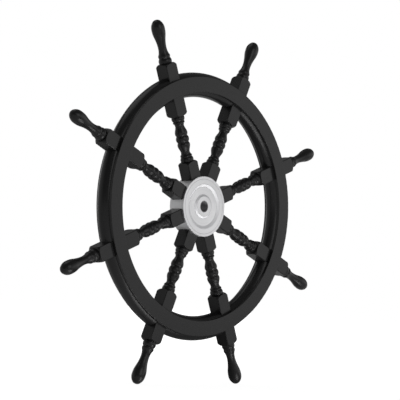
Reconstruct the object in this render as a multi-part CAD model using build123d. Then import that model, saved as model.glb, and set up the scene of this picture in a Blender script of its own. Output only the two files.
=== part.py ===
from build123d import *

import math
import os

os.makedirs("parts", exist_ok=True)

# A ship's steering wheel: eight one-piece turned spokes with handles, a rim of eight
# segments between the spokes' square blocks, a trim ring on each face, and a metal hub
# that clamps the spokes round a wooden core and turns on a steel bush.
# Millimetres, +Z up. The origin is the wheel's centre and the wheel turns about Y, with
# its front towards -Y. Every spoke's axis lies in the plane y = 0.

# Spokes, each turned from one length of square stock
spoke_count = 8
stock_side = 36.0
stock_edge_round = 2.0
hub_block_side = 34.5
hub_block_reach = 30.7
shoulder_length = 10.0
block_inner_reach = 39.0
block_outer_reach = 33.0
bead_length = 16.0
handle_length = 104.7
grip_end_length = 22.0
grip_cut = 1.9
collar_cut = 2.2
shoulder_cut = 3.6
ring_cut = 3.7
groove_cut = 5.1
neck_radius = 10.7
waist_radius = 10.0
tenon_radius = 8.0
tenon_length = 18.0

# Rim
ring_inner_radius = 273.0
ring_width = 36.5
front_ring_thickness = 7.5
back_ring_thickness = 5.0
ring_edge_round = 1.0
segment_bulge = 11.0
dowel_radius = 4.0
dowel_length = 30.0

# Hub
hub_radius = 71.8
hub_wall = 5.8
plate_thickness = 4.8
dish_depth = 3.3
land_width = 12.9
land_wall_run = 6.0
boss_width = 10.6
boss_wall_run = 4.3
core_margin = 3.4
bore_radius = 12.75
bush_neck_wall = 1.1
bush_body_wall = 3.75

# Screws
hub_screw_count = 4
hub_screw_radius = 2.5
hub_screw_head_radius = 5.0
hub_screw_inset = 9.0
pad_radius = 6.5
pad_height = 6.0
ring_screw_radius = 2.0
ring_screw_head_radius = 4.2
ring_screw_bite = 12.0
slot_width = 1.1
slot_depth = 1.0

# Clearances between pieces
fit_gap = 0.1
end_gap = 0.4

# Radii and depths that follow from the sizes above
spoke_pitch = 360 / spoke_count
half_pitch = math.radians(spoke_pitch / 2)
block_half = stock_side / 2
hub_block_half = hub_block_side / 2
corner_radius = block_half * math.sqrt(2)
grip_radius = block_half - grip_cut
collar_radius = block_half - collar_cut
shoulder_radius = block_half - shoulder_cut
bead_ring_radius = block_half - ring_cut
groove_radius = block_half - groove_cut
vase_radius = (collar_radius + shoulder_radius) / 2
ring_outer_radius = ring_inner_radius + ring_width
ring_middle_radius = ring_inner_radius + ring_width / 2
plate_seat = hub_block_half + fit_gap
hub_half = plate_seat + plate_thickness
core_flat_radius = hub_block_half / math.tan(half_pitch) + core_margin
bush_neck_radius = bore_radius + bush_neck_wall
bush_body_radius = bore_radius + bush_body_wall
plate_radius = hub_radius - hub_wall - fit_gap
land_radius = plate_radius - land_width
boss_radius = bush_neck_radius + boss_width
hub_screw_circle = core_flat_radius - hub_screw_inset
ring_back = block_half + back_ring_thickness

# Stations along a spoke, measured out from the wheel's centre
tenon_end = core_flat_radius - tenon_length
hub_block_end = hub_radius + hub_block_reach
baluster_start = hub_block_end + shoulder_length
rim_block_start = ring_inner_radius - block_inner_reach
baluster_end = rim_block_start - shoulder_length
rim_block_end = ring_outer_radius + block_outer_reach
handle_start = rim_block_end + shoulder_length
tip = handle_start + handle_length
grip_crest = tip - grip_end_length


def write(shape, name):
    """Write one named node to its own STEP file."""
    shape.label = name
    export_step(shape, f"parts/{name}.step")


def turn_to(shape, pitches):
    """Turn a shape clockwise, as seen from the front, by a number of spoke pitches."""
    return shape.rotate(Axis.Y, spoke_pitch * pitches)


def about_y(outline):
    """A solid of revolution about the wheel's axis, from an outline of (radius, y)."""
    return revolve(make_face(outline), Axis.Y)


def rod(radius, start, end, x=0.0, z=0.0):
    """A cylinder parallel to the wheel's axis, from one depth to another."""
    plane = Plane(origin=(x, start, z), x_dir=(1, 0, 0), z_dir=(0, 1, 0))
    return extrude(plane * Circle(radius), end - start)


def on_circle(radius, count):
    """Places spaced evenly round a circle on the face, starting from the top."""
    angles = [2 * math.pi * number / count for number in range(count)]
    return [(radius * math.sin(angle), radius * math.cos(angle)) for angle in angles]


# Screws and dowels, with the holes that they fit


def countersunk(head_radius, shank_radius, back, end, x, z):
    """A countersunk screw with a slotted head, driven forwards from the back."""
    head_depth = head_radius - shank_radius
    outline = Polyline(
        (0, back),
        (head_radius, back),
        (shank_radius, back - head_depth),
        (shank_radius, end + shank_radius),
        (0, end),
        close=True,
    )
    slot = Box(3 * head_radius, 2 * slot_depth, slot_width)
    return Pos(x, 0, z) * (about_y(outline) - Pos(0, back, 0) * slot)


def countersink(head_radius, shank_radius, back, front, x, z):
    """The hole through a back ring or plate that a countersunk screw sits in."""
    gap_radius = head_radius + fit_gap
    head_depth = head_radius - shank_radius
    outline = Polyline(
        (0, back),
        (gap_radius, back),
        (shank_radius + fit_gap, back - head_depth),
        (shank_radius + fit_gap, front),
        (0, front),
        close=True,
    )
    return Pos(x, 0, z) * about_y(outline)


def ring_screw_hole():
    """The pilot hole at the top of the rim for one screw of the back ring."""
    start = block_half - ring_screw_bite - end_gap
    return rod(ring_screw_radius + fit_gap, start, block_half, 0, ring_middle_radius)


def dowel(side, gap=0.0, end=0.0):
    """A dowel across one side of the block of a spoke that points up."""
    reach = dowel_length / 2 + end
    plane = Plane(
        origin=(side * block_half - reach, 0, ring_middle_radius), z_dir=(1, 0, 0)
    )
    return extrude(plane * Circle(dowel_radius + gap), 2 * reach)


# Spokes


def shoulder(block_place, neck_place):
    """The rounded end of a square block, where the turning begins."""
    lean = math.sqrt(0.5)
    middle = (
        shoulder_radius + (corner_radius - shoulder_radius) * lean,
        block_place + (neck_place - block_place) * lean,
    )
    block_corner = (corner_radius, block_place)
    return ThreePointArc(block_corner, middle, (shoulder_radius, neck_place))


def collar_and_ring(start, crest, groove, ring, end):
    """A broad bead beside a shoulder, then a narrow ring."""
    return [
        ThreePointArc(
            (shoulder_radius, start), (collar_radius, crest), (groove_radius, groove)
        ),
        ThreePointArc(
            (groove_radius, groove), (bead_ring_radius, ring), (groove_radius, end)
        ),
    ]


def half_baluster(start, end):
    """Collar, ring, neck and vase, from a block's shoulder to the centre bead."""
    length = end - start
    places = [start + share * length for share in (0, 0.13, 0.26, 0.31, 0.36)]
    vase = Spline(
        (groove_radius, places[-1]),
        (neck_radius, start + 0.51 * length),
        ((neck_radius + vase_radius) / 2, start + 0.67 * length),
        (vase_radius, start + 0.83 * length),
        (groove_radius, end),
    )
    return [*collar_and_ring(*places), vase]


def handle():
    """Collar, ring, waist and grip, from the rim block's shoulder to the tip."""
    places = [
        handle_start + share * handle_length for share in (0, 0.06, 0.125, 0.165, 0.205)
    ]
    waist = handle_start + 0.375 * handle_length
    grip = Spline(
        (groove_radius, places[-1]),
        (waist_radius, waist),
        ((waist_radius + grip_radius) / 2, (waist + grip_crest) / 2),
        (grip_radius, grip_crest),
        tangents=[(-0.4, 0.9), (0, 1)],
    )
    end = Spline(
        (grip_radius, grip_crest),
        (grip_radius * math.sqrt(0.5), grip_crest + grip_end_length * math.sqrt(0.5)),
        (0, tip),
        tangents=[(0, 1), (-1, 0)],
    )
    return [*collar_and_ring(*places), grip, end]


def spoke():
    """One spoke pointing up: tenon, hub block, baluster, rim block and handle."""
    bead_middle = (baluster_start + baluster_end) / 2
    bead_start = bead_middle - bead_length / 2
    bead_end = bead_middle + bead_length / 2
    stem = Polyline(
        (0, tip),
        (0, tenon_end),
        (tenon_radius, tenon_end),
        (tenon_radius, core_flat_radius),
        (corner_radius, core_flat_radius),
        (corner_radius, hub_block_end),
    )
    bead = ThreePointArc(
        (groove_radius, bead_start), (collar_radius, bead_middle), (groove_radius, bead_end)
    )
    rim_block = Line((corner_radius, rim_block_start), (corner_radius, rim_block_end))
    outline = [
        *stem.edges(),
        shoulder(hub_block_end, baluster_start),
        *half_baluster(baluster_start, bead_start),
        bead,
        *half_baluster(baluster_end, bead_end),
        shoulder(rim_block_start, baluster_end),
        rim_block,
        shoulder(rim_block_end, handle_start),
        *handle(),
    ]
    turned = revolve(Plane.XZ * make_face(outline), Axis.Z)
    hub_end = RectangleRounded(hub_block_side, hub_block_side, stock_edge_round)
    rim_end = RectangleRounded(stock_side, stock_side, stock_edge_round)
    stock = extrude(Plane.XY.offset(tenon_end) * hub_end, baluster_start - tenon_end)
    stock += extrude(Plane.XY.offset(baluster_start) * rim_end, tip - baluster_start)
    holes = [dowel(side, fit_gap, end_gap) for side in (-1, 1)]
    return (turned & stock) - holes - ring_screw_hole()


# Rim


def segment():
    """The rim's wooden segment at the top, rounded on its inner and outer sides."""
    inner_front = (ring_inner_radius, -block_half)
    outer_front = (ring_outer_radius, -block_half)
    outer_back = (ring_outer_radius, block_half)
    inner_back = (ring_inner_radius, block_half)
    outline = [
        Line(inner_front, outer_front),
        ThreePointArc(outer_front, (ring_outer_radius + segment_bulge, 0), outer_back),
        Line(outer_back, inner_back),
        ThreePointArc(inner_back, (ring_inner_radius - segment_bulge, 0), inner_front),
    ]
    apex = block_half / math.sin(half_pitch)
    reach = 2 * tip
    corner = (reach * math.sin(half_pitch), apex + reach * math.cos(half_pitch))
    between = Polyline((0, apex), corner, (-corner[0], corner[1]), close=True)
    front = Plane(origin=(0, -block_half, 0), x_dir=(1, 0, 0), z_dir=(0, -1, 0))
    wedge = extrude(front * make_face(between), -stock_side)
    solid = about_y(outline) & wedge
    for side in (-1, 1):
        solid -= turn_to(dowel(side, fit_gap, end_gap), -side / 2)
    return solid - ring_screw_hole()


def ring(side, thickness):
    """A flat trim ring on the front (-1) or back (1) of the rim, with eased edges."""
    seat = side * block_half
    face = seat + side * thickness
    outline = Polyline(
        (ring_inner_radius, seat),
        (ring_inner_radius, face),
        (ring_outer_radius, face),
        (ring_outer_radius, seat),
        close=True,
    )
    section = make_face(outline)
    edges = section.vertices().filter_by_position(Axis.Y, face, face)
    return revolve(fillet(edges, ring_edge_round), Axis.Y)


def back_ring():
    """The back trim ring, with countersunk holes for its screws."""
    solid = ring(1, back_ring_thickness)
    for x, z in on_circle(ring_middle_radius, 2 * spoke_count):
        solid -= countersink(
            ring_screw_head_radius, ring_screw_radius, ring_back, block_half, x, z
        )
    return solid


# Hub


def hub_drum():
    """The hub's cast wall, with a square socket for each spoke."""
    inside = plate_radius + fit_gap
    solid = rod(hub_radius, -hub_half, hub_half) - rod(inside, -hub_half, hub_half)
    side = hub_block_side + 2 * fit_gap
    section = RectangleRounded(side, side, stock_edge_round)
    socket = extrude(Plane.XY.offset(core_flat_radius) * section, hub_radius)
    for number in range(spoke_count):
        solid -= turn_to(socket, number + 0.5)
    return solid


def front_plate():
    """The dished front plate, with blind tapped pads behind it for the hub screws."""
    face = -hub_half
    floor = dish_depth - hub_half
    hole = bush_neck_radius + fit_gap
    outline = Polyline(
        (hole, -plate_seat),
        (hole, face),
        (boss_radius, face),
        (boss_radius + boss_wall_run, floor),
        (land_radius - land_wall_run, floor),
        (land_radius, face),
        (plate_radius, face),
        (plate_radius, -plate_seat),
        close=True,
    )
    solid = about_y(outline)
    pad_end = pad_height - plate_seat
    for x, z in on_circle(hub_screw_circle, hub_screw_count):
        solid += rod(pad_radius, -plate_seat, pad_end, x, z)
        solid -= rod(hub_screw_radius + fit_gap, -plate_seat, pad_end, x, z)
    return solid


def back_plate():
    """The plain back plate, with countersunk holes for the hub screws."""
    solid = rod(plate_radius, plate_seat, hub_half)
    solid -= rod(bush_neck_radius + fit_gap, plate_seat, hub_half)
    for x, z in on_circle(hub_screw_circle, hub_screw_count):
        solid -= countersink(
            hub_screw_head_radius, hub_screw_radius, hub_half, plate_seat, x, z
        )
    return solid


def hub_core():
    """The eight-sided wooden core, bored for the bush, the tenons and the screws."""
    section = RegularPolygon(core_flat_radius, spoke_count, major_radius=False)
    front = Plane(origin=(0, -hub_block_half, 0), x_dir=(1, 0, 0), z_dir=(0, 1, 0))
    solid = extrude(front * section, hub_block_side)
    solid -= rod(bush_body_radius + fit_gap, -hub_block_half, hub_block_half)
    tenon_plane = Plane.XY.offset(tenon_end - end_gap)
    tenon_hole = extrude(tenon_plane * Circle(tenon_radius + fit_gap), hub_radius)
    for number in range(spoke_count):
        solid -= turn_to(tenon_hole, number + 0.5)
    pocket_end = pad_height - plate_seat + end_gap
    for x, z in on_circle(hub_screw_circle, hub_screw_count):
        solid -= rod(pad_radius + fit_gap, -hub_block_half, pocket_end, x, z)
        solid -= rod(hub_screw_radius + fit_gap, pocket_end, hub_block_half, x, z)
    return solid


def hub_bush():
    """The steel bush that the wheel turns on, trapped endways by the two plates."""
    outline = Polyline(
        (bore_radius, -hub_half),
        (bush_neck_radius, -hub_half),
        (bush_neck_radius, -hub_block_half),
        (bush_body_radius, -hub_block_half),
        (bush_body_radius, hub_block_half),
        (bush_neck_radius, hub_block_half),
        (bush_neck_radius, hub_half),
        (bore_radius, hub_half),
        close=True,
    )
    return about_y(outline)


# The assembly

top_spoke = spoke()
top_segment = segment()
for number in range(spoke_count):
    write(turn_to(top_spoke, number + 0.5), f"spoke_{number + 1}")
    write(turn_to(top_segment, number), f"rim_segment_{number + 1}")
write(ring(-1, front_ring_thickness), "front_ring")
write(back_ring(), "back_ring")
write(hub_drum(), "hub_drum")
write(front_plate(), "hub_front_plate")
write(back_plate(), "hub_back_plate")
write(hub_core(), "hub_core")
write(hub_bush(), "hub_bush")

hub_screws = [
    countersunk(
        hub_screw_head_radius, hub_screw_radius, hub_half, end_gap - plate_seat, x, z
    )
    for x, z in on_circle(hub_screw_circle, hub_screw_count)
]
write(Compound(children=hub_screws), "hub_screws")

ring_screws = [
    countersunk(
        ring_screw_head_radius,
        ring_screw_radius,
        ring_back,
        block_half - ring_screw_bite,
        x,
        z,
    )
    for x, z in on_circle(ring_middle_radius, 2 * spoke_count)
]
write(Compound(children=ring_screws), "ring_screws")

rim_dowels = [
    turn_to(dowel(side), number + 0.5) for number in range(spoke_count) for side in (-1, 1)
]
write(Compound(children=rim_dowels), "rim_dowels")
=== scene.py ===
import math

import bpy
from mathutils import Matrix, Vector


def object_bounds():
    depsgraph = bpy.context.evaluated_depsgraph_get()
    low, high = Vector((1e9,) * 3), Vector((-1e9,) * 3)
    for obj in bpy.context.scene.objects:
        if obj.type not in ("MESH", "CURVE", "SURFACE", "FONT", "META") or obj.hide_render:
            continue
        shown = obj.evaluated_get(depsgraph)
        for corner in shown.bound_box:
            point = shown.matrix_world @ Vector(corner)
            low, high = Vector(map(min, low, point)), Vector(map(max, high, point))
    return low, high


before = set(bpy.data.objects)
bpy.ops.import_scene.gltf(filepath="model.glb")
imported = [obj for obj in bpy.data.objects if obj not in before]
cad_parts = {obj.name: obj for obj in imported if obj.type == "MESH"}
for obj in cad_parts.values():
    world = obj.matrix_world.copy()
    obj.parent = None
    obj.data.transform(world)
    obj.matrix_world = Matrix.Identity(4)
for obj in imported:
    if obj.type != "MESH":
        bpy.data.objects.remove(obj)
cad_low, cad_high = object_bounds()

# A ship's steering wheel in black lacquered wood with a turned aluminium hub.
# Metres. The wheel's centre is the origin, its axis is Y and its front faces -Y.
# The CAD nodes carry every shape; each gets a procedural material here.

SPOKES = 8
PITCH = 2 * math.pi / SPOKES


# Node helpers

# Where a rounded normal's agreement with the true one counts as a full lean
FULL_LEAN = 0.86


class Shader:
    """A node tree under construction, with short calls for the nodes it needs."""

    def __init__(self, owner, output):
        """Empty the tree of a material or a world, and give it its output node."""
        owner.use_nodes = True
        self.owner = owner
        self.tree = owner.node_tree
        self.tree.nodes.clear()
        self.output = self.node(output)

    def node(self, kind, **settings):
        made = self.tree.nodes.new(kind)
        for key, value in settings.items():
            setattr(made, key, value)
        return made

    def feed(self, socket, value):
        """Link a socket to another, or set its own value."""
        if isinstance(value, bpy.types.NodeSocket):
            self.tree.links.new(value, socket)
        else:
            socket.default_value = value

    def maths(self, operation, first, second=0.5, clamp=False):
        made = self.node("ShaderNodeMath", operation=operation, use_clamp=clamp)
        self.feed(made.inputs[0], first)
        self.feed(made.inputs[1], second)
        return made.outputs[0]

    def vector(self, operation, first, second=(0, 0, 0)):
        """The number that a vector operation gives, such as a length or a dot product."""
        made = self.node("ShaderNodeVectorMath", operation=operation)
        self.feed(made.inputs[0], first)
        self.feed(made.inputs[1], second)
        return made.outputs["Value"]

    def parts(self, vector):
        """The X, Y and Z sockets of a vector."""
        made = self.node("ShaderNodeSeparateXYZ")
        self.feed(made.inputs[0], vector)
        return made.outputs

    def ranged(self, value, low, high, out_low=0.0, out_high=1.0):
        made = self.node("ShaderNodeMapRange", clamp=True)
        for socket, number in zip(made.inputs, (value, low, high, out_low, out_high)):
            self.feed(socket, number)
        return made.outputs[0]

    def away(self, value, middle):
        """How far a value is from another, either way."""
        return self.maths("ABSOLUTE", self.maths("SUBTRACT", value, middle))

    def mix(self, share, first, second):
        made = self.node("ShaderNodeMix", data_type="RGBA")
        self.feed(made.inputs["Factor"], share)
        self.feed(made.inputs["A"], first)
        self.feed(made.inputs["B"], second)
        return made.outputs["Result"]

    def blend(self, share, first, second):
        """A mix of two whole shaders."""
        made = self.node("ShaderNodeMixShader")
        for socket, value in zip(made.inputs, (share, first, second)):
            self.feed(socket, value)
        return made.outputs[0]

    def noise(self, vector, scale, detail, roughness):
        made = self.node("ShaderNodeTexNoise")
        self.feed(made.inputs["Vector"], vector)
        self.feed(made.inputs["Scale"], scale)
        self.feed(made.inputs["Detail"], detail)
        self.feed(made.inputs["Roughness"], roughness)
        return made.outputs["Fac"]

    def line_noise(self, along, scale, detail):
        """Noise along one number, which makes rings where the number is a radius."""
        made = self.node("ShaderNodeTexNoise", noise_dimensions="1D")
        self.feed(made.inputs["W"], along)
        self.feed(made.inputs["Scale"], scale)
        self.feed(made.inputs["Detail"], detail)
        return made.outputs["Fac"]

    def place(self, turn=0.0, shift=(0, 0, 0), scale=(1, 1, 1)):
        """Object coordinates, turned about the wheel's axis, then shifted and scaled."""
        source = self.node("ShaderNodeTexCoord").outputs["Object"]
        turned = self.node("ShaderNodeMapping")
        self.feed(turned.inputs["Vector"], source)
        self.feed(turned.inputs["Rotation"], (0, -turn, 0))
        made = self.node("ShaderNodeMapping")
        self.feed(made.inputs["Vector"], turned.outputs["Vector"])
        self.feed(made.inputs["Location"], shift)
        self.feed(made.inputs["Scale"], scale)
        return made.outputs["Vector"]

    def bump(self, height, distance, normal=None):
        made = self.node("ShaderNodeBump")
        self.feed(made.inputs["Height"], height)
        self.feed(made.inputs["Distance"], distance)
        self.feed(made.inputs["Strength"], 1.0)
        if normal is not None:
            self.feed(made.inputs["Normal"], normal)
        return made.outputs["Normal"]

    def edge(self, radius):
        """The normal rounded over edges, and how far it leans from the true one."""
        rounded = self.node("ShaderNodeBevel", samples=4)
        self.feed(rounded.inputs["Radius"], radius)
        true = self.node("ShaderNodeNewGeometry").outputs["Normal"]
        agreement = self.vector("DOT_PRODUCT", rounded.outputs["Normal"], true)
        return rounded.outputs["Normal"], self.ranged(agreement, 1.0, FULL_LEAN)

    def rays(self):
        """Whether a ray is the camera's, and whether a gloss or a glass sent it."""
        path = self.node("ShaderNodeLightPath").outputs
        gloss = self.maths("MAXIMUM", path["Is Glossy Ray"], path["Is Transmission Ray"])
        return path["Is Camera Ray"], gloss

    def surface(self, shader):
        """Send a shader to the output, and return the finished material or world."""
        self.feed(self.output.inputs["Surface"], shader)
        return self.owner

    def principled(self, **sockets):
        """Finish with a Principled shader. Underscores stand for a socket's spaces."""
        shader = self.node("ShaderNodeBsdfPrincipled")
        for key, value in sockets.items():
            self.feed(shader.inputs[key.replace("_", " ")], value)
        return self.surface(shader.outputs[0])


def new_material(name):
    return Shader(bpy.data.materials.new(name), "ShaderNodeOutputMaterial")


# Materials

LACQUER_DARK = (0.0060, 0.0060, 0.0064, 1)
LACQUER_PALE = (0.0110, 0.0107, 0.0107, 1)
LACQUER_CLOUD = (0.0140, 0.0140, 0.0147, 1)
LACQUER_PORE = (0.005, 0.005, 0.005, 1)
# Paler edge tone: partly rubbed wood, partly a painted highlight along the edges
RUBBED_WOOD_AND_HIGHLIGHT = (0.075, 0.066, 0.058, 1)
DUST = (0.06, 0.058, 0.055, 1)

# Noise scales to the metre, and lengths in metres
GRAIN_SCALE = 260.0
GRAIN_STRETCH = 0.05
PORE_SCALE = 1100.0
CLOUD_SCALE = 9.0
SPECK_SCALE = 1500.0
WEAR_SCALE = 38.0
GRAIN_DEPTH = 0.00005
WOOD_EDGE = 0.0012


def lacquered_wood(name, turn, along, seed):
    """Black satin lacquer on wood, with its grain along one direction of the piece."""
    shader = new_material(name)
    shift = (0.37 * seed, 0.11 * seed, 0.23 * seed)
    stretch = (GRAIN_STRETCH, 1, 1) if along == "X" else (1, 1, GRAIN_STRETCH)
    wood = shader.place(turn, shift, stretch)
    plain = shader.place(turn, shift)
    grain = shader.noise(wood, GRAIN_SCALE, 4.0, 0.6)
    pores = shader.ranged(shader.noise(wood, PORE_SCALE, 2.0, 0.6), 0.58, 0.72)
    clouds = shader.noise(plain, CLOUD_SCALE, 3.0, 0.5)
    specks = shader.ranged(shader.noise(plain, SPECK_SCALE, 1.0, 0.5), 0.68, 0.80)
    # Paler edges: partly rubbed wear, partly a painted highlight along the edges
    rounded, lean = shader.edge(WOOD_EDGE)
    patches = shader.ranged(shader.noise(plain, WEAR_SCALE, 4.0, 0.65), 0.40, 0.66)
    worn_and_highlit = shader.maths("MULTIPLY", lean, patches)

    colour = shader.mix(grain, LACQUER_DARK, LACQUER_PALE)
    colour = shader.mix(shader.ranged(clouds, 0.3, 0.7, 0.0, 0.35), colour, LACQUER_CLOUD)
    colour = shader.mix(shader.maths("MULTIPLY", pores, 0.5), colour, LACQUER_PORE)
    colour = shader.mix(shader.maths("MULTIPLY", worn_and_highlit, 0.3), colour, RUBBED_WOOD_AND_HIGHLIGHT)
    colour = shader.mix(shader.maths("MULTIPLY", specks, 0.15), colour, DUST)

    rough = shader.ranged(clouds, 0.25, 0.75, 0.21, 0.29)
    rough = shader.maths("ADD", rough, shader.maths("MULTIPLY", pores, 0.12))
    rough = shader.maths("ADD", rough, shader.maths("MULTIPLY", worn_and_highlit, 0.12))
    height = shader.maths("SUBTRACT", grain, shader.maths("MULTIPLY", pores, 0.8))
    return shader.principled(
        Base_Color=colour,
        Roughness=rough,
        Normal=shader.bump(height, GRAIN_DEPTH, rounded),
        Specular_IOR_Level=0.22,
        Coat_Weight=0.34,
        Coat_Roughness=0.20,
        Coat_IOR=1.45,
    )


ALUMINIUM = ((0.84, 0.84, 0.855, 1), (0.95, 0.95, 0.955, 1))
ALUMINIUM_ROUGH = (0.50, 0.58)
SCREW_STEEL = ((0.5, 0.5, 0.52, 1), (0.7, 0.7, 0.71, 1))
SCREW_ROUGH = (0.3, 0.4)
# Painted shade: the dark tone of the line along each step's corner
CORNER_SHADE_TONE = (0.25, 0.26, 0.28, 1)
# Painted shade: the darker tone of each sloped wall
SHADED_WALL_METAL = (0.82, 0.82, 0.83, 1)
FINE_RINGS = 1900.0
BROAD_RINGS = 260.0
SMEAR_SCALE = 30.0
RING_DEPTH = 0.00003
METAL_EDGE = 0.0006
CORNER_SHADE_REACH = (0.0003, 0.0012)
WALL_FADE = 0.0008


def turned_metal(name, tones, roughness, corners=(), walls=()):
    """Metal turned on a lathe, in fine rings, with a painted shade line at each corner, and
    walls painted darker as shade and made rougher.

    A corner is a radius. A wall is the middle radius and half the width of its band."""
    shader = new_material(name)
    plain = shader.place()
    parts = shader.parts(plain)
    square_x = shader.maths("MULTIPLY", parts["X"], parts["X"])
    square_z = shader.maths("MULTIPLY", parts["Z"], parts["Z"])
    radius = shader.maths("SQRT", shader.maths("ADD", square_x, square_z))
    across = shader.maths("ADD", radius, parts["Y"])
    fine = shader.line_noise(across, FINE_RINGS, 3.0)
    broad = shader.line_noise(across, BROAD_RINGS, 2.0)
    rings = shader.maths("ADD", fine, shader.maths("MULTIPLY", broad, 0.8))
    smears = shader.noise(plain, SMEAR_SCALE, 4.0, 0.6)
    rounded = shader.edge(METAL_EDGE)[0]

    tone = shader.mix(shader.ranged(rings, 0.6, 1.2), *tones)
    rough = shader.ranged(smears, 0.3, 0.7, *roughness)
    # Painted shade: a dark line along each step's corner
    for corner in corners:
        corner_shade = shader.ranged(shader.away(radius, corner), *CORNER_SHADE_REACH, 0.5, 0.0)
        tone = shader.mix(corner_shade, tone, CORNER_SHADE_TONE)
    # Painted shade: each sloped wall is darker, and also rougher
    for middle, reach in walls:
        aside = shader.away(radius, middle)
        coarse_and_shaded = shader.ranged(aside, reach, reach + WALL_FADE, 1.0, 0.0)
        tone = shader.mix(coarse_and_shaded, tone, SHADED_WALL_METAL)
        rough = shader.maths("ADD", rough, shader.maths("MULTIPLY", coarse_and_shaded, 0.28), True)
    around = shader.node("ShaderNodeTangent", direction_type="RADIAL", axis="Y")
    return shader.principled(
        Base_Color=tone,
        Metallic=1.0,
        Roughness=rough,
        Normal=shader.bump(rings, RING_DEPTH, rounded),
        Anisotropic=0.12,
        Tangent=around.outputs[0],
    )


BUSH_STEEL = (0.42, 0.42, 0.43)
BUSH_ROUGH = (0.45, 0.60)
SCREW_BLACK = (0.03, 0.03, 0.032)
SCREW_BLACK_ROUGH = (0.35, 0.5)
RUBBED_STEEL = (0.25, 0.25, 0.25, 1)
BLOOM_SCALE = 120.0
BLOOM_DEPTH = 0.00003
STEEL_EDGE = 0.0003


def black_steel(name, base, roughness):
    """Blackened steel with a thin oily bloom and bright rubbed edges."""
    shader = new_material(name)
    bloom = shader.noise(shader.place(), BLOOM_SCALE, 4.0, 0.6)
    rounded, lean = shader.edge(STEEL_EDGE)
    tone = shader.mix(bloom, (*base, 1), (*(0.5 * part for part in base), 1))
    tone = shader.mix(shader.maths("MULTIPLY", lean, 0.5), tone, RUBBED_STEEL)
    return shader.principled(
        Base_Color=tone,
        Metallic=0.6,
        Roughness=shader.ranged(bloom, 0.3, 0.7, *roughness),
        Normal=shader.bump(bloom, BLOOM_DEPTH, rounded),
    )


BEECH = ((0.42, 0.27, 0.14, 1), (0.60, 0.42, 0.25, 1))
BEECH_SCALE = 700.0


def bare_wood(name):
    """Bare beech, for the dowels inside the joints."""
    shader = new_material(name)
    grain = shader.noise(shader.place(), BEECH_SCALE, 4.0, 0.6)
    return shader.principled(
        Base_Color=shader.mix(grain, *BEECH),
        Roughness=0.7,
        Normal=shader.bump(grain, GRAIN_DEPTH),
    )


# Paint each CAD node


def paint(node, material):
    """Give a CAD node its material."""
    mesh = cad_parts[node].data
    mesh.materials.clear()
    mesh.materials.append(material)


# Every wooden piece has its own seed, so that no two show the same grain. The two rings
# also have theirs turned by different angles.
SEGMENT_SEED = 10
FRONT_RING_SEED = 21
BACK_RING_SEED = 22
CORE_SEED = 23
FRONT_RING_TURN = 0.3
BACK_RING_TURN = 1.1

for number in range(SPOKES):
    spoke = number + 1
    spoke_turn = (number + 0.5) * PITCH
    spoke_wood = lacquered_wood(f"spoke_lacquer_{spoke}", spoke_turn, "Z", spoke)
    segment_turn = number * PITCH
    segment_seed = SEGMENT_SEED + spoke
    segment_wood = lacquered_wood(f"segment_lacquer_{spoke}", segment_turn, "X", segment_seed)
    paint(f"spoke_{spoke}", spoke_wood)
    paint(f"rim_segment_{spoke}", segment_wood)
front_wood = lacquered_wood("front_ring_lacquer", FRONT_RING_TURN, "X", FRONT_RING_SEED)
back_wood = lacquered_wood("back_ring_lacquer", BACK_RING_TURN, "X", BACK_RING_SEED)
paint("front_ring", front_wood)
paint("back_ring", back_wood)
paint("hub_core", lacquered_wood("core_stain", 0.0, "Z", CORE_SEED))

# Radii of the front plate's turned steps, from its boss out to its rim
BOSS_EDGE = 0.0244
BOSS_FOOT = 0.0287
DISH_FOOT = 0.0470
LAND_EDGE = 0.0530
PLATE_EDGE = 0.0657
PLATE_CORNERS = (BOSS_EDGE, BOSS_FOOT, DISH_FOOT, LAND_EDGE, PLATE_EDGE)

# The band on each of its two sloped walls, painted darker as shade and made rougher: middle
# radius and half the width
BOSS_WALL = (0.0266, 0.0019)
DISH_WALL = (0.0500, 0.0027)
PLATE_WALLS = (BOSS_WALL, DISH_WALL)

hub_metal = turned_metal("turned_aluminium", ALUMINIUM, ALUMINIUM_ROUGH)
paint("hub_drum", hub_metal)
paint("hub_back_plate", hub_metal)
plate_metal = turned_metal(
    "turned_plate", ALUMINIUM, ALUMINIUM_ROUGH, PLATE_CORNERS, PLATE_WALLS
)
paint("hub_front_plate", plate_metal)
paint("hub_bush", black_steel("bush_steel", BUSH_STEEL, BUSH_ROUGH))
paint("ring_screws", black_steel("screw_black", SCREW_BLACK, SCREW_BLACK_ROUGH))
paint("hub_screws", turned_metal("screw_steel", SCREW_STEEL, SCREW_ROUGH))
paint("rim_dowels", bare_wood("dowel_beech"))


# Studio: a pale floor, a white background and four soft lamps

FLOOR_SIZE = 30.0
FLOOR_DROP = 0.0005
FLOOR_TONE = (0.8, 0.8, 0.8, 1)
FLOOR_WHITE = 1.3

# How white the floor is by its distance from the middle, and how brightly it glows to gloss,
# a painted reflection for the wood to show, by its distance from a dim line. Each is two
# distances, then the value at each.
FLOOR_FADE = (0.6, 2.2, 0.72, 1.0)
FLOOR_DIM_X = 0.15
FLOOR_REFLECTED_GLOW = (0.15, 0.45, 0.08, 0.42)


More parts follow.
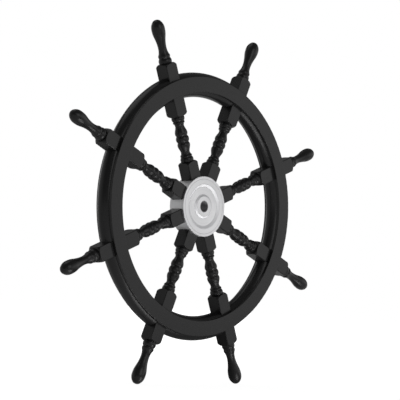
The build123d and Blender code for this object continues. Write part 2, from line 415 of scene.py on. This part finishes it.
def pale_floor():
    """Matt, white to the camera away from the wheel, and to gloss a glow, dim along one line,
    that paints the wood's reflections.
    """
    shader = new_material("pale_floor")
    matt = shader.node("ShaderNodeBsdfDiffuse")
    shader.feed(matt.inputs["Color"], FLOOR_TONE)
    white = shader.node("ShaderNodeEmission")
    shader.feed(white.inputs["Strength"], FLOOR_WHITE)
    # Painted reflection: a glow that only gloss sees
    reflected_glow = shader.node("ShaderNodeEmission")
    place = shader.node("ShaderNodeTexCoord").outputs["Object"]
    aside = shader.away(shader.parts(place)["X"], FLOOR_DIM_X)
    shader.feed(reflected_glow.inputs["Strength"], shader.ranged(aside, *FLOOR_REFLECTED_GLOW))
    camera_ray, gloss = shader.rays()
    far = shader.ranged(shader.vector("LENGTH", place), *FLOOR_FADE)
    share = shader.maths("MULTIPLY", camera_ray, far)
    seen = shader.blend(share, matt.outputs[0], white.outputs[0])
    return shader.surface(shader.blend(gloss, seen, reflected_glow.outputs[0]))


def backdrop(name, size, matrix):
    """A flat square that belongs to the stage."""
    mesh = bpy.data.meshes.new(name)
    half = size / 2
    corners = [(-half, -half, 0), (half, -half, 0), (half, half, 0), (-half, half, 0)]
    mesh.from_pydata(corners, [], [(0, 1, 2, 3)])
    piece = bpy.data.objects.new(name, mesh)
    bpy.context.scene.collection.objects.link(piece)
    piece.matrix_world = matrix
    return piece


# The floor takes the wheel's shadow but casts none, as the key lamp shines from below it
floor_place = Matrix.Translation((0, 0, cad_low[2] - FLOOR_DROP))
floor = backdrop("floor", FLOOR_SIZE, floor_place)
floor.data.materials.append(pale_floor())
floor.visible_shadow = False


# The room that matt surfaces see is even. The one that gloss sees is brighter towards
# two pale sides: each is a direction, then how squarely a ray has to face it for the
# first and the last of its light, and how much light that is.
WHITE = (1, 1, 1, 1)
ROOM_TONE = (0.25, 0.25, 0.25, 1)
GLOSS_TONE = 0.14
PALE_SIDES = (
    ((0.75, -0.60, -0.25), (0.55, 0.95, 0.0, 0.72)),
    ((-0.55, 0.80, -0.25), (0.50, 0.95, 0.0, 0.36)),
)


def studio_world():
    """White to the camera, an even dim room to matt surfaces, and two pale sides in gloss."""
    world = bpy.data.worlds.new("studio")
    bpy.context.scene.world = world
    shader = Shader(world, "ShaderNodeOutputWorld")
    direction = shader.node("ShaderNodeTexCoord").outputs["Generated"]
    tone = GLOSS_TONE
    for side, reach in PALE_SIDES:
        facing = shader.vector("DOT_PRODUCT", direction, Vector(side).normalized())
        tone = shader.maths("ADD", shader.ranged(facing, *reach), tone)
    camera_ray, gloss = shader.rays()
    tone = shader.mix(gloss, ROOM_TONE, tone)
    tone = shader.mix(camera_ray, tone, WHITE)
    room = shader.node("ShaderNodeBackground")
    shader.feed(room.inputs["Color"], tone)
    shader.surface(room.outputs[0])


# Each lamp's place and size in metres, and its power in watts
LAMPS = {
    "key": ((0.22, -1.24, -1.27), 0.56, 25),
    "fill": ((-0.6, -3.4, 1.2), 2.2, 15),
    "top": ((-0.6, 0.8, 2.6), 2.0, 7),
    "back": ((0.6, 3.6, 0.9), 2.0, 6),
}


def softbox(name, place, size, power):
    """A square area lamp that points at the wheel's centre."""
    lamp = bpy.data.lights.new(name, "AREA")
    lamp.size = size
    lamp.energy = power
    piece = bpy.data.objects.new(name, lamp)
    bpy.context.scene.collection.objects.link(piece)
    piece.location = place
    piece.rotation_euler = (-Vector(place)).to_track_quat("-Z", "Y").to_euler()


studio_world()
for name, (place, size, power) in LAMPS.items():
    softbox(name, place, size, power)


# Camera, in front and round to the -X side, with the wheel seen a little clockwise

CAMERA_DISTANCE = 3.716
CAMERA_YAW = math.radians(46.8)
WHEEL_TURN = math.radians(4.56)
SENSOR_WIDTH = 36
FOCAL_LENGTH = 139.6
SHIFT = (0.0065, 0.0163)
CLIP_END = 60

lens = bpy.data.cameras.new("camera")
lens.sensor_width = SENSOR_WIDTH
lens.lens = FOCAL_LENGTH
lens.shift_x, lens.shift_y = SHIFT
lens.clip_end = CLIP_END
camera = bpy.data.objects.new("camera", lens)
bpy.context.scene.collection.objects.link(camera)

away_x = -math.sin(CAMERA_YAW) * math.cos(WHEEL_TURN)
away_y = -math.cos(CAMERA_YAW)
away_z = -math.sin(CAMERA_YAW) * math.sin(WHEEL_TURN)
away = Vector((away_x, away_y, away_z))
up = Vector((-math.sin(WHEEL_TURN), 0, math.cos(WHEEL_TURN)))
right = up.cross(away).normalized()
turn = Matrix((right, away.cross(right), away)).transposed()
camera.matrix_world = Matrix.Translation(CAMERA_DISTANCE * away) @ turn.to_4x4()
bpy.context.scene.camera = camera
bpy.context.scene.view_settings.view_transform = "Standard"
